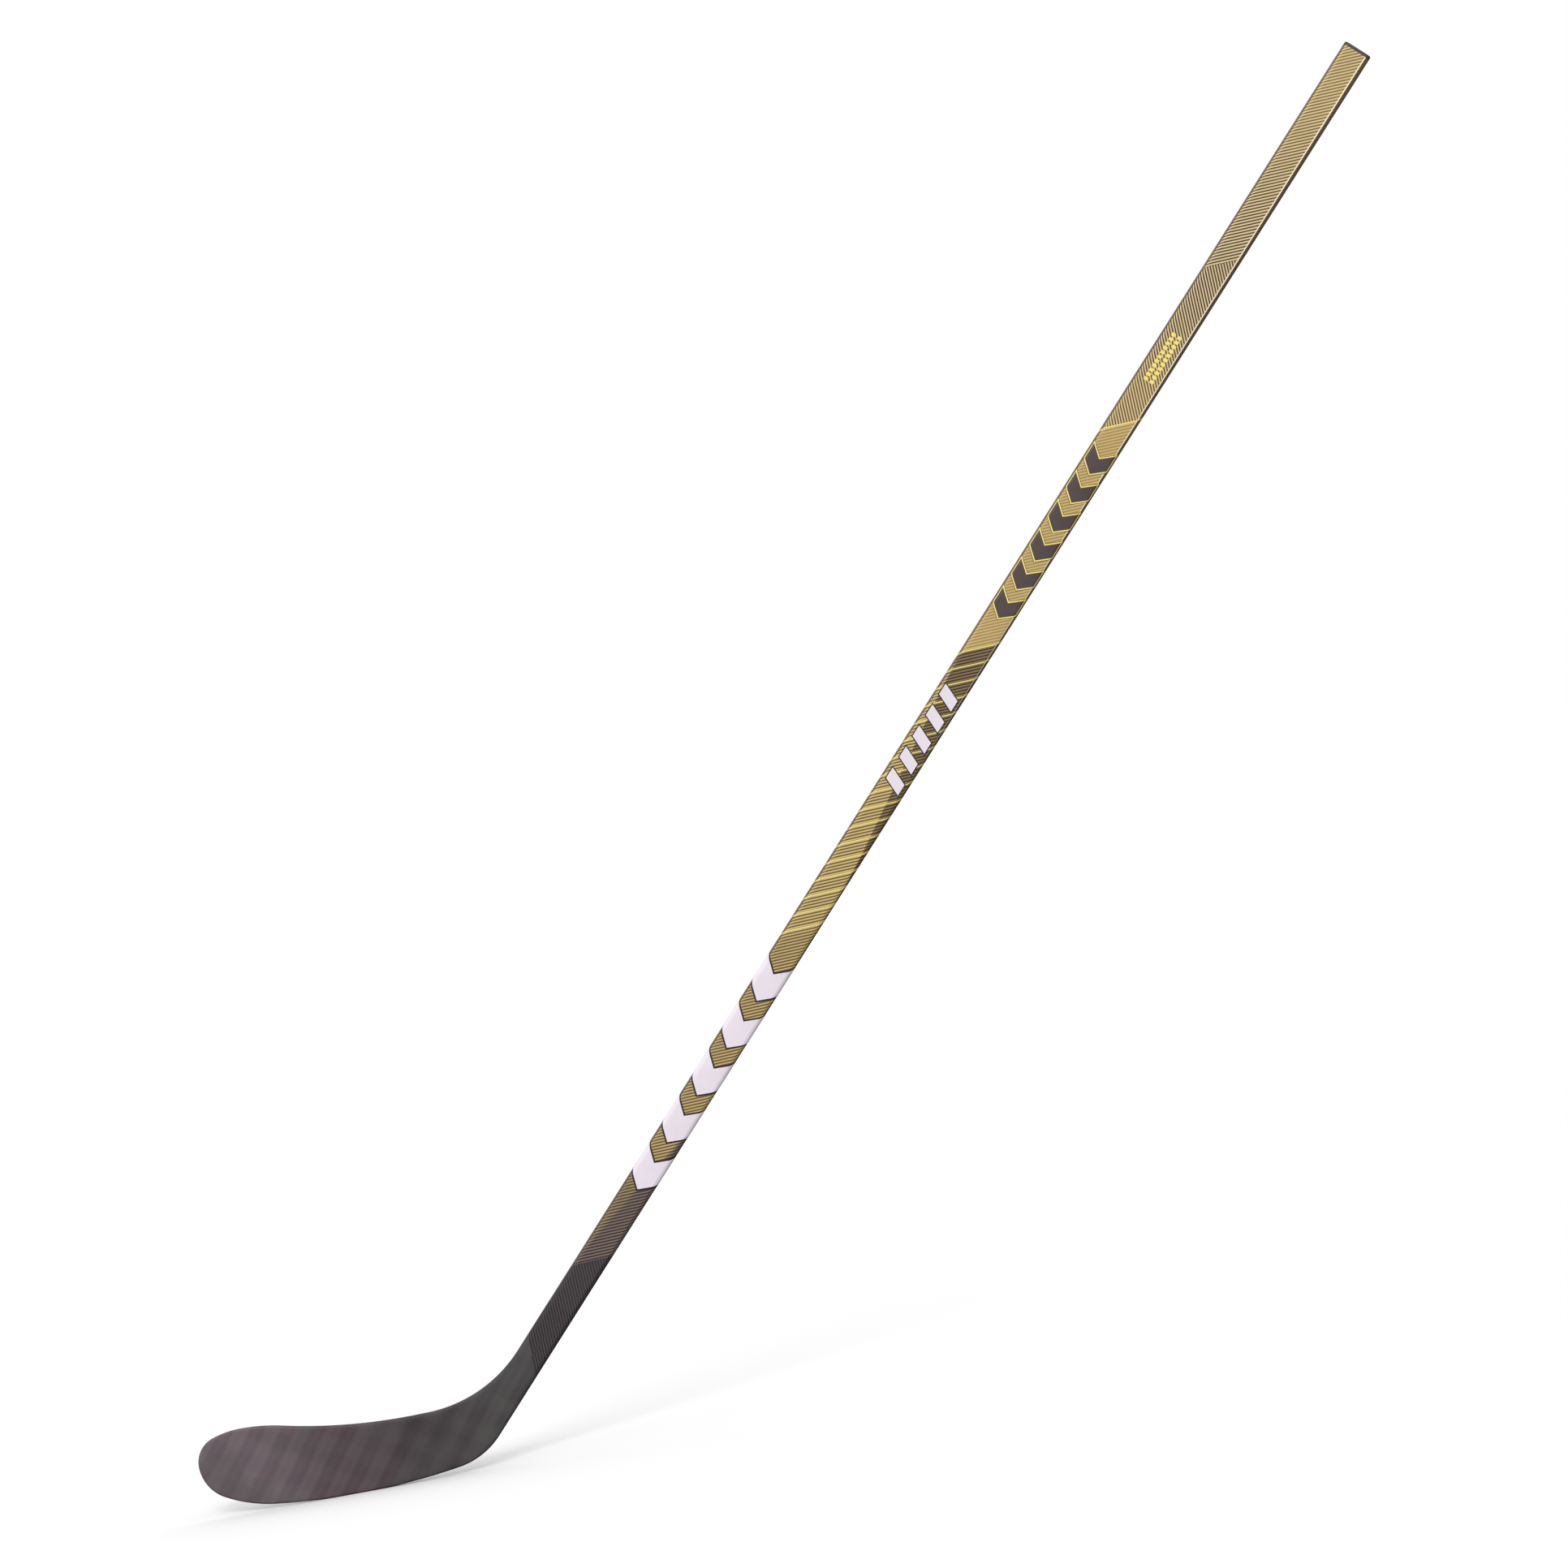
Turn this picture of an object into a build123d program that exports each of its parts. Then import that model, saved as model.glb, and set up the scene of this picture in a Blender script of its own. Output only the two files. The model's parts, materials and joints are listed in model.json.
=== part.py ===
"""Ice hockey stick: a senior one-piece composite stick, left-handed, in playing position.

The blade stands on the ice plane Z = 0 and lies along X with its toe at -X.  The shaft
rises towards +X in the XZ plane, so its two wide faces look along -Y and +Y.
The origin is the middle of the short flat at the bottom of the blade's rocker.
The blade curves towards +Y at the toe, so the seen -Y side is the backhand side.

"Along" is measured on the shaft's centre line from the point where that line meets
the ice.  "Across" is in the plane of the stick, positive towards the back edge.
"Down" is measured from the butt end towards the blade, for the printed films.
"""
import math
import os

from build123d import *

os.makedirs("parts", exist_ok=True)

# ---------------------------------------------------------------- driving dimensions
LIE_ANGLE = 47.0            # degrees between the shaft and the ice
FOOT_X = 98.6               # where the shaft's centre line meets the ice
BUTT_ALONG = 1634.0         # the butt face, along the shaft from the ice

SHAFT_WIDTH = 29.2          # wide face of the shaft
SHAFT_DEPTH = 20.0          # narrow face of the shaft
SHAFT_CORNER = 4.5          # outside corner radius
TAPER_TOP = 420.0           # the depth starts to taper here, going down
HOSEL_TOP = 190.0           # the shaft tube ends and the blade's neck begins
HOSEL_BASE = 118.0          # the neck ends and the blade begins
HOSEL_DEPTH = 15.6          # shaft depth at HOSEL_TOP
WALL = 1.8                  # structural tube
OUTER_PLY = 0.4             # lined outer ply on the tube
GLUE = 0.25                 # adhesive films

FLANGE = 3.4                # visible thickness of the butt plug
FLANGE_EDGE = 1.2           # its rounded outer edge
STEM_LENGTH = 45.0          # the plug's stem inside the tube
STEM_WALL = 1.6
STEM_FLOOR = 1.0            # solid left between the stem's hollow and the flange
LEAD_IN = 0.8               # chamfer at the stem's far end
GLUE_SET_BACK = 5.0         # the stem's far end is free of adhesive
TENON_LENGTH = 110.0        # the blade's tenon inside the tube
SEAM = 1.2                  # filler ring between the neck and the outer ply
NECK_EDGE = 3.0             # rounding of the neck's long edges
LEAST_CORNER = 0.8          # of the smallest inset section

SOLE_FLAT = 20.0            # flat at the bottom of the rocker
SOLE_RADIUS = 620.0         # rocker
HEEL_RADIUS = 75.0
TOE_START = -80.0           # the rocker ends and the toe's arcs begin
TOE_UNDER = (-128.0, 18.4)
TOE_TIP = (-148.4, 50.5)
TOE_OVER = (-130.4, 76.7)
TOE_CREST = (-103.0, 81.7)
TOE_BACK = (-60.0, 77.6)
TOP_END = 76.0              # the top edge runs straight from here to the neck
BLADE_TOP = 64.2            # height of the blade just before the neck
NECK_RADIUS = 135.0         # from the blade's top edge up into the shaft's front edge
RIM = 3.0                   # width of the edge binding in the side view
RIM_EDGE = 1.6              # its rounding
SKIN = 1.0                  # blade skins
TOE_CORE_X = -112.0         # the toe insert lies beyond this
HEEL_CORE_X = 92.0          # the heel core lies beyond this
RIB_Z = 38.0                # underside of the stiff rib between the foam cores
RIB_HEIGHT = 4.5

FILM = 0.12                 # printed film on the outer ply
STRIPE_ANGLE = 45.0         # every printed line runs at this angle to the shaft
FINE_LINE_PITCH = 20.0      # bright lines of the middle zone, along the shaft
FINE_LINE_WIDTH = 1.4
FINE_LINE_START = 685.6     # the first of them, down from the butt
FINE_LINE_COUNT = 17
BORDER_LINE_DOWN = 429.3    # the single bright line above the dark marks
BORDER_LINE_WIDTH = 1.6
DARK_MARK_START = 459.0     # six dark chevrons
DARK_MARK_PITCH = 33.0
DARK_MARK_COUNT = 6
DARK_MARK_WIDTH = 17.0
DARK_MARK_POINT = 11.0
DARK_MARK_HALF_HEIGHT = 12.9
PALE_MARK_START = 737.0     # five pale slanted bars
PALE_MARK_PITCH = 24.0
PALE_MARK_COUNT = 5
PALE_MARK_WIDTH = 12.0
PALE_MARK_HALF_HEIGHT = 9.4
PALE_MARK_LEAN = -0.45
PALE_BLOCK_START = 1047.0   # five pale chevrons right round the shaft
PALE_BLOCK_PITCH = 54.0
PALE_BLOCK_COUNT = 5
PALE_BLOCK_WIDTH = 30.0
PALE_BLOCK_POINT = 13.0
DASH_START = 328.0          # two rows of small dashes
DASH_PITCH = 5.0
DASH_COUNT = 11
DASH_WIDTH = 3.4
DASH_HALF_HEIGHT = 2.1
DASH_ROWS = (-3.4, 3.2)     # across
SLEEVE_SPARE = 40.0         # a film's sleeve is longer than its marks by this at each end
THROUGH = 60.0              # more than half the stick's depth, for cuts right through

# Blade and neck in plan: X, how far the middle has curved to +Y, full thickness.
BLADE_STATIONS = [
    (-156.0, 19.0, 5.4),
    (-105.0, 10.4, 6.2),
    (-45.0, 3.2, 7.2),
    (20.0, 0.0, 8.6),
    (90.0, 0.0, 10.8),
    (160.0, 0.0, 13.3),
    (260.0, 0.0, 16.7),
]

# ---------------------------------------------------------------- the shaft's own frame
LIE = math.radians(LIE_ANGLE)
ALONG = (math.cos(LIE), 0.0, math.sin(LIE))
ACROSS = (math.sin(LIE), 0.0, -math.cos(LIE))
FLANGE_ALONG = BUTT_ALONG - FLANGE


def shaft_plane(along):
    """Plane square to the shaft: local X is across, local Y is the stick's Y."""
    origin = (FOOT_X + along * ALONG[0], 0.0, along * ALONG[2])
    return Plane(origin=origin, x_dir=ACROSS, z_dir=ALONG)


def side_point(along, across):
    """A point of the shaft in the side view, as X and Z."""
    return (FOOT_X + along * ALONG[0] + across * ACROSS[0], along * ALONG[2] + across * ACROSS[2])


def depth_at(along):
    """Depth of the shaft: full down to the taper, then straight to the hosel's."""
    if along >= TAPER_TOP:
        return SHAFT_DEPTH
    share = (along - HOSEL_TOP) / (TAPER_TOP - HOSEL_TOP)
    return HOSEL_DEPTH + share * (SHAFT_DEPTH - HOSEL_DEPTH)


def shaft_section(along, inset):
    """The rounded rectangle of the shaft at one place, smaller by inset all round."""
    return RectangleRounded(
        SHAFT_WIDTH - 2 * inset,
        depth_at(along) - 2 * inset,
        max(SHAFT_CORNER - inset, LEAST_CORNER),
    )


def shaft_run(low, high, inset, mode=Mode.ADD):
    """A stretch of the shaft's outline as a solid, tapered below TAPER_TOP."""
    if low < TAPER_TOP:
        knee = min(high, TAPER_TOP)
        with BuildSketch(shaft_plane(low)) as lower_end:
            shaft_section(low, inset)
        with BuildSketch(shaft_plane(knee)) as upper_end:
            shaft_section(knee, inset)
        loft([lower_end.sketch, upper_end.sketch], mode=mode)
        low = knee
    if high > low:
        with BuildSketch(shaft_plane(low)) as section:
            shaft_section(high, inset)
        extrude(section.sketch, amount=high - low, mode=mode)


# ---------------------------------------------------------------- the blade in side view
def heel_corner():
    """Where the rocker's arc would meet the shaft's back edge, before the heel is rounded."""
    edge = side_point(0.0, SHAFT_WIDTH / 2)
    centre = (SOLE_FLAT / 2, SOLE_RADIUS)
    dx = edge[0] - centre[0]
    dz = edge[1] - centre[1]
    half = dx * ALONG[0] + dz * ALONG[2]
    rest = dx * dx + dz * dz - SOLE_RADIUS**2
    run = -half - math.sqrt(half * half - rest)
    return (edge[0] + run * ALONG[0], edge[1] + run * ALONG[2])


def sole_height(x):
    """Height of the rocker above the ice at a place along the blade."""
    beyond = abs(x) - SOLE_FLAT / 2
    return SOLE_RADIUS - math.sqrt(SOLE_RADIUS**2 - beyond**2)


def stick_side_outline():
    """Blade and neck in the XZ plane, up to the end of the shaft tube."""
    half_flat = SOLE_FLAT / 2
    heel = heel_corner()
    front_edge = side_point(0, -SHAFT_WIDTH / 2)
    neck = (front_edge[0] + (BLADE_TOP - front_edge[1]) / math.tan(LIE), BLADE_TOP)
    neck_front = side_point(HOSEL_TOP, -SHAFT_WIDTH / 2)
    neck_back = side_point(HOSEL_TOP, SHAFT_WIDTH / 2)
    with BuildSketch() as outline:
        with BuildLine():
            Line((half_flat, 0), (-half_flat, 0))
            sole = TangentArc((-half_flat, 0), (TOE_START, sole_height(TOE_START)), tangent=(-1, 0))
            under = TangentArc(sole @ 1, TOE_UNDER, tangent=sole % 1)
            tip = TangentArc(under @ 1, TOE_TIP, tangent=under % 1)
            over = TangentArc(tip @ 1, TOE_OVER, tangent=tip % 1)
            crest = TangentArc(over @ 1, TOE_CREST, tangent=over % 1)
            fall = TangentArc(crest @ 1, TOE_BACK, tangent=crest % 1)
            rise = TangentArc(fall @ 1, (TOP_END, BLADE_TOP), tangent=fall % 1)
            Line(rise @ 1, neck)
            Line(neck, neck_front)
            Line(neck_front, neck_back)
            Line(neck_back, heel)
            TangentArc((half_flat, 0), heel, tangent=(1, 0))
        make_face()
        fillet(outline.vertices().sort_by_distance(heel)[0], radius=HEEL_RADIUS)
        fillet(outline.vertices().sort_by_distance(neck)[0], radius=NECK_RADIUS)
    return outline.sketch_local


def plan_curve(offset_share, inward):
    """Points of one face of the blade in plan: share -0.5 is the front, +0.5 the back."""
    return [(x, middle + offset_share * (thick - 2 * inward)) for x, middle, thick in BLADE_STATIONS]


def plan_slab(front, back):
    """The sheet between two plan curves, swept up through the whole height of the blade."""
    with BuildSketch(Plane.XY.offset(-5)) as plan:
        with BuildLine():
            Spline(*front)
            Line(front[-1], back[-1])
            Spline(*back)
            Line(back[0], front[0])
        make_face()
    extrude(plan.sketch, amount=200, mode=Mode.INTERSECT)


def whole_slab():
    plan_slab(plan_curve(-0.5, 0), plan_curve(0.5, 0))


def core_slab():
    plan_slab(plan_curve(-0.5, SKIN), plan_curve(0.5, SKIN))


SIDE = stick_side_outline()


def below_hosel(mode):
    """The half-plane under the line where the neck ends."""
    with Locations(side_point(HOSEL_BASE - 200, 0)):
        Rectangle(400, 600, rotation=LIE_ANGLE, mode=mode)


def blade_interior(from_x=-400.0, to_x=400.0, from_z=-400.0, to_z=400.0):
    """The blade's side view inside its rim and under the neck, between the given limits."""
    add(SIDE)
    offset(amount=-RIM, kind=Kind.ARC, mode=Mode.REPLACE)
    below_hosel(Mode.INTERSECT)
    with Locations(((from_x + to_x) / 2, (from_z + to_z) / 2)):
        Rectangle(to_x - from_x, to_z - from_z, mode=Mode.INTERSECT)


def is_clear_of_hosel(edge):
    """True for an edge that doesn't lie in the plane where the neck ends."""
    middle = edge.center()
    along = (middle.X - FOOT_X) * ALONG[0] + middle.Z * ALONG[2]
    return abs(along - HOSEL_BASE) > 0.5


def save(part, name):
    """Label one finished piece and write it to its own file."""
    part.label = name
    export_step(part, f"parts/{name}.step")


# ---------------------------------------------------------------- the shaft
with BuildPart() as shaft_tube:
    shaft_run(HOSEL_TOP + SEAM, FLANGE_ALONG, OUTER_PLY)
    shaft_run(HOSEL_TOP + SEAM, FLANGE_ALONG, OUTER_PLY + WALL, Mode.SUBTRACT)
save(shaft_tube.part, "shaft_tube")

with BuildPart() as shaft_outer_ply:
    shaft_run(HOSEL_TOP + SEAM, FLANGE_ALONG, 0)
    shaft_run(HOSEL_TOP + SEAM, FLANGE_ALONG, OUTER_PLY, Mode.SUBTRACT)
save(shaft_outer_ply.part, "shaft_outer_ply")

BORE = OUTER_PLY + WALL
STEM_END = FLANGE_ALONG - STEM_LENGTH

with BuildPart() as butt_plug:
    with BuildSketch(shaft_plane(FLANGE_ALONG)):
        shaft_section(BUTT_ALONG, 0)
    extrude(amount=FLANGE)
    rim = butt_plug.faces().sort_by(Axis((0, 0, 0), ALONG))[-1].edges()
    fillet(rim, radius=FLANGE_EDGE)
    shaft_run(STEM_END, FLANGE_ALONG, BORE + GLUE)
    lead_in = butt_plug.faces().sort_by(Axis((0, 0, 0), ALONG))[0].edges()
    chamfer(lead_in, length=LEAD_IN)
    with BuildSketch(shaft_plane(STEM_END)):
        shaft_section(BUTT_ALONG, BORE + GLUE + STEM_WALL)
        Rectangle(STEM_WALL, SHAFT_DEPTH, mode=Mode.SUBTRACT)
    extrude(amount=STEM_LENGTH - STEM_FLOOR, mode=Mode.SUBTRACT)
save(butt_plug.part, "butt_plug")

with BuildPart() as plug_adhesive:
    shaft_run(STEM_END + GLUE_SET_BACK, FLANGE_ALONG, BORE)
    shaft_run(STEM_END + GLUE_SET_BACK, FLANGE_ALONG, BORE + GLUE, Mode.SUBTRACT)
save(plug_adhesive.part, "plug_adhesive")

# ---------------------------------------------------------------- the joint to the blade
with BuildPart() as hosel_tenon:
    with BuildSketch(Plane.XZ):
        add(SIDE)
        below_hosel(Mode.SUBTRACT)
    extrude(amount=THROUGH, both=True)
    whole_slab()
    long_edges = hosel_tenon.edges().filter_by(lambda edge: edge.length > THROUGH)
    fillet(long_edges, radius=NECK_EDGE)
    shaft_run(HOSEL_TOP, HOSEL_TOP + TENON_LENGTH, BORE + GLUE)
save(hosel_tenon.part, "hosel_tenon")

with BuildPart() as seam_filler:
    shaft_run(HOSEL_TOP, HOSEL_TOP + SEAM, 0)
    shaft_run(HOSEL_TOP, HOSEL_TOP + SEAM, BORE + GLUE, Mode.SUBTRACT)
save(seam_filler.part, "seam_filler")

with BuildPart() as tenon_adhesive:
    shaft_run(HOSEL_TOP + SEAM, HOSEL_TOP + TENON_LENGTH, BORE)
    shaft_run(HOSEL_TOP + SEAM, HOSEL_TOP + TENON_LENGTH, BORE + GLUE, Mode.SUBTRACT)
save(tenon_adhesive.part, "tenon_adhesive")

# ---------------------------------------------------------------- the blade
with BuildPart() as edge_binding:
    with BuildSketch(Plane.XZ):
        add(SIDE)
        below_hosel(Mode.INTERSECT)
    extrude(amount=THROUGH, both=True)
    whole_slab()
    outer_edges = edge_binding.edges().filter_by(Axis.Y, reverse=True)
    fillet(outer_edges.filter_by(is_clear_of_hosel), radius=RIM_EDGE)
    with BuildSketch(Plane.XZ):
        blade_interior()
    extrude(amount=THROUGH, both=True, mode=Mode.SUBTRACT)
save(edge_binding.part, "edge_binding")

with BuildPart() as blade_front_skin:
    with BuildSketch(Plane.XZ):
        blade_interior()
    extrude(amount=THROUGH, both=True)
    plan_slab(plan_curve(-0.5, 0), plan_curve(-0.5, SKIN))
save(blade_front_skin.part, "blade_front_skin")

with BuildPart() as blade_back_skin:
    with BuildSketch(Plane.XZ):
        blade_interior()
    extrude(amount=THROUGH, both=True)
    plan_slab(plan_curve(0.5, SKIN), plan_curve(0.5, 0))
save(blade_back_skin.part, "blade_back_skin")

CORES = {
    "toe_insert": {"to_x": TOE_CORE_X},
    "heel_core": {"from_x": HEEL_CORE_X},
    "lower_core": {"from_x": TOE_CORE_X, "to_x": HEEL_CORE_X, "to_z": RIB_Z},
    "core_rib": {
        "from_x": TOE_CORE_X,
        "to_x": HEEL_CORE_X,
        "from_z": RIB_Z,
        "to_z": RIB_Z + RIB_HEIGHT,
    },
    "upper_core": {"from_x": TOE_CORE_X, "to_x": HEEL_CORE_X, "from_z": RIB_Z + RIB_HEIGHT},
}
for core_name, limits in CORES.items():
    with BuildPart() as core:
        with BuildSketch(Plane.XZ):
            blade_interior(**limits)
        extrude(amount=THROUGH, both=True)
        core_slab()
    save(core.part, core_name)

# ---------------------------------------------------------------- the printed films
BUTT_CENTRE = (FOOT_X + BUTT_ALONG * ALONG[0], 0.0, BUTT_ALONG * ALONG[2])
FILM_PLANE = Plane(
    origin=BUTT_CENTRE,
    x_dir=(-ALONG[0], 0.0, -ALONG[2]),
    z_dir=(0.0, -1.0, 0.0),
)
REACH = SHAFT_WIDTH / 2 + 2 * FILM       # past both corners, so the film goes right round
LEAN = math.tan(math.radians(STRIPE_ANGLE))


def slanted_bar(down, width, half_height, lean=LEAN):
    """A bar across the shaft whose upper end lies lean times its height further down."""
    low = lean * half_height
    return [
        (down + low, -half_height),
        (down + low + width, -half_height),
        (down - low + width, half_height),
        (down - low, half_height),
    ]


def chevron(down, width, point, half_height):
    """A V lying along the shaft, with its point towards the blade."""
    return [
        (down, -half_height),
        (down + width, -half_height),
        (down + width + point, 0),
        (down + width, half_height),
        (down, half_height),
        (down + point, 0),
    ]


def bright_lines():
    lines = [slanted_bar(BORDER_LINE_DOWN, BORDER_LINE_WIDTH, REACH)]
    for index in range(FINE_LINE_COUNT):
        down = FINE_LINE_START + index * FINE_LINE_PITCH
        lines.append(slanted_bar(down, FINE_LINE_WIDTH, REACH))
    return lines


def dark_marks():
    marks = []
    for index in range(DARK_MARK_COUNT):
        down = DARK_MARK_START + index * DARK_MARK_PITCH
        marks.append(chevron(down, DARK_MARK_WIDTH, DARK_MARK_POINT, DARK_MARK_HALF_HEIGHT))
    return marks


def pale_marks():
    marks = []
    for index in range(PALE_MARK_COUNT):
        down = PALE_MARK_START + index * PALE_MARK_PITCH
        marks.append(slanted_bar(down, PALE_MARK_WIDTH, PALE_MARK_HALF_HEIGHT, PALE_MARK_LEAN))
    return marks


def pale_blocks():
    blocks = []
    for index in range(PALE_BLOCK_COUNT):
        down = PALE_BLOCK_START + index * PALE_BLOCK_PITCH
        blocks.append(chevron(down, PALE_BLOCK_WIDTH, PALE_BLOCK_POINT, REACH))
    return blocks


def small_dashes():
    dashes = []
    for middle in DASH_ROWS:
        low = middle - DASH_HALF_HEIGHT
        high = middle + DASH_HALF_HEIGHT
        for index in range(DASH_COUNT):
            down = DASH_START + DASH_PITCH * index
            end = down + DASH_WIDTH
            dashes.append([(down, low), (end, low), (end, high), (down, high)])
    return dashes


def film_prism(outlines, mode):
    """The outlines pushed through the whole depth of the shaft."""
    with BuildSketch(FILM_PLANE) as shapes:
        for outline in outlines:
            with BuildLine():
                Polyline(*outline, close=True)
            make_face()
    extrude(shapes.sketch, amount=SHAFT_DEPTH, both=True, mode=mode)


def film_sleeve(outlines):
    """The space one film thick just outside the outer ply, over the length of the outlines."""
    places = [down for outline in outlines for down, across in outline]
    low = BUTT_ALONG - max(places) - SLEEVE_SPARE
    high = BUTT_ALONG - min(places) + SLEEVE_SPARE
    shaft_run(low, high, -FILM)
    shaft_run(low, high, 0, Mode.SUBTRACT)


FILMS = {
    "film_bright_lines": (bright_lines(), pale_marks()),
    "film_small_dashes": (small_dashes(), []),
    "film_dark_marks": (dark_marks(), []),
    "film_pale_marks": (pale_marks(), []),
    "film_pale_blocks": (pale_blocks(), []),
}
for film_name, (shown, left_out) in FILMS.items():
    with BuildPart() as printed:
        film_sleeve(shown)
        film_prism(shown, Mode.INTERSECT)
        if left_out:
            film_prism(left_out, Mode.SUBTRACT)
    save(printed.part, film_name)
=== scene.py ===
"""Ice hockey stick: finished looks round the CAD frame.

The lined outer ply and the tube under it are rebuilt as three closed lengths each, the neck and
blade as one smooth closed shell, and the printed films as thin closed sheets that follow the
shaft's rounded corners.  Everything is placed by the shaft's own directions, which come from the
record's mounts: "down" is measured from the butt towards the blade, "across" towards the back
edge, and "girth" is across on a wide face and goes on round the corners.
"""

import json
import math

import bmesh
import bpy
import numpy as np
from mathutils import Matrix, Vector


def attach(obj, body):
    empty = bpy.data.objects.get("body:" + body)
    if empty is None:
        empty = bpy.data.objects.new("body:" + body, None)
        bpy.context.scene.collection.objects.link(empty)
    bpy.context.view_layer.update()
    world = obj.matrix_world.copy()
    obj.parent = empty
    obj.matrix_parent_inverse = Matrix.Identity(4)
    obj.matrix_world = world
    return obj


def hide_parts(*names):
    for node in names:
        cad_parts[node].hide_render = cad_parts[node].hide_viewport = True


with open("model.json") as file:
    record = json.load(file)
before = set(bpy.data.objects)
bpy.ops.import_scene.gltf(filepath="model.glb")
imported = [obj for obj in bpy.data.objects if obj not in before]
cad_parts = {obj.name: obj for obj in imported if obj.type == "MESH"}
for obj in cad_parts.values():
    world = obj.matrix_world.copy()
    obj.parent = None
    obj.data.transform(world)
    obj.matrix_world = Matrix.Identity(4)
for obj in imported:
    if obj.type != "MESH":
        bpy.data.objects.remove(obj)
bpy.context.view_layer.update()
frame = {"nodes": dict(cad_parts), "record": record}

# ------------------------------------------------------------------ sizes, in metres
MM = 0.001
MICRON = 1e-6
mounts = {mount["name"]: mount for mount in frame["record"]["mounts"]}
BUTT = Vector(mounts["butt_end"]["pos_m"])
ALONG = Vector(mounts["butt_end"]["axis"]).normalized()
ACROSS = Vector(mounts["back_edge_face"]["axis"]).normalized()
LIE = math.atan2(ALONG.z, ALONG.x)
HALF_DEPTH = abs(mounts["wide_face_front"]["pos_m"][1])
HALF_WIDTH = (Vector(mounts["back_edge_face"]["pos_m"]) - BUTT).dot(ACROSS)
BUTT_ALONG = BUTT.z / ALONG.z
FOOT_X = BUTT.x - BUTT_ALONG * ALONG.x

CORNER = 4.5 * MM               # outside corner radius of the shaft
CORNER_STEPS = 8
OUTER_PLY = 0.4 * MM
WALL = 1.8 * MM
FLANGE = 3.4 * MM               # visible thickness of the butt plug
SEAM = 1.2 * MM                 # filler ring between the neck and the outer ply
TAPER_DOWN = BUTT_ALONG - 420 * MM
HOSEL_DOWN = BUTT_ALONG - 190 * MM
HOSEL_HALF_DEPTH = 7.8 * MM
PLY_END = HOSEL_DOWN - SEAM
SECTIONS = 3                    # closed lengths that the ply and the tube are made in

SOLE_HALF_FLAT = 10 * MM
SOLE_RADIUS = 620 * MM
HEEL_RADIUS = 75 * MM
BACK_EDGE_SPLIT = 125 * MM      # a row of the shell lies here, along the shaft from the ice
TOE_START = -80 * MM            # the rocker ends and the toe's arcs begin
TOE_UNDER = (-128 * MM, 18.4 * MM)
TOE_TIP = (-148.4 * MM, 50.5 * MM)
TOE_OVER = (-130.4 * MM, 76.7 * MM)
TOE_CREST = (-103 * MM, 81.7 * MM)
TOE_BACK = (-60 * MM, 77.6 * MM)
TOP_END = 76 * MM               # the top edge runs from here to the neck
BLADE_TOP = 64.2 * MM           # height of the blade just before the neck
NECK_RADIUS = 135 * MM
NECK_POINTS = 100
NECK_SPLIT = 45                 # the neck's point that lies across from the heel's start
TOP_SPLITS = (8 * MM, -74 * MM, -124 * MM)      # X of the top's places across from the bottom's
ROWS_BETWEEN = [22, 26, 26, 26, 30, 26, 30]     # rows of the shell between those places
RIM_RADIUS = 2.3 * MM           # rounding of the blade's rim
RIM_GROWS_FROM = 110 * MM       # X where the rounding starts to grow to the shaft's corner
RIM_GROWS_OVER = 110 * MM
OUTLINE_SPARE = 60 * MM         # the outline is carried on past the joint by this
MERGE = 2 * MICRON              # mesh points nearer than this are one

# X, how far the middle has curved to +Y, full thickness, all in millimetres
CURVED, THICKNESS = 1, 2
BLADE_STATIONS = [
    (-156.0, 19.0, 5.4),
    (-105.0, 10.4, 6.2),
    (-45.0, 3.2, 7.2),
    (20.0, 0.0, 8.6),
    (90.0, 0.0, 10.8),
    (160.0, 0.0, 13.3),
    (260.0, 0.0, 16.7),
]

BRIGHT_LIFT = 0.04 * MM         # heights of the printed films over the skin
DASH_LIFT = 0.06 * MM
BORDER_LIFT = 0.05 * MM         # the lowest border of a mark
BORDER_STEP = 0.03 * MM         # the next border lies this much higher
FILM = 0.12 * MM                # the marks themselves

# ------------------------------------------------------------------ prints, in millimetres
# where the films lie: down from the butt, and their sizes along and across the shaft
BORDER_LINE_DOWN = 429.3        # the single bright line above the dark marks
BORDER_LINE_WIDTH = 1.6
FINE_LINE_START = 685.6         # bright lines of the middle zone
FINE_LINE_PITCH = 20
FINE_LINE_COUNT = 17
FINE_LINE_WIDTH = 1.4
DASH_START = 328                # two rows of small dashes
DASH_PITCH = 5
DASH_COUNT = 11
DASH_WIDTH = 3.4
DASH_HALF_HEIGHT = 2.1
DASH_ROWS = (-3.4, 3.2)
DARK_MARK_START = 459           # six dark chevrons
DARK_MARK_PITCH = 33
DARK_MARK_COUNT = 6
DARK_MARK_WIDTH = 17
DARK_MARK_POINT = 11
DARK_MARK_HALF_HEIGHT = 12.9
PALE_MARK_START = 737           # five pale slanted bars
PALE_MARK_PITCH = 24
PALE_MARK_COUNT = 5
PALE_MARK_WIDTH = 12
PALE_MARK_HALF_HEIGHT = 9.4
PALE_MARK_LEAN = -0.45
PALE_BLOCK_START = 1047         # five pale chevrons right round the shaft
PALE_BLOCK_PITCH = 54
PALE_BLOCK_COUNT = 5
PALE_BLOCK_WIDTH = 30
PALE_BLOCK_POINT = 13
PALE_BLOCK_HALF_HEIGHT = 14.6   # on a wide face; the arms go on from there round the corners

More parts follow.
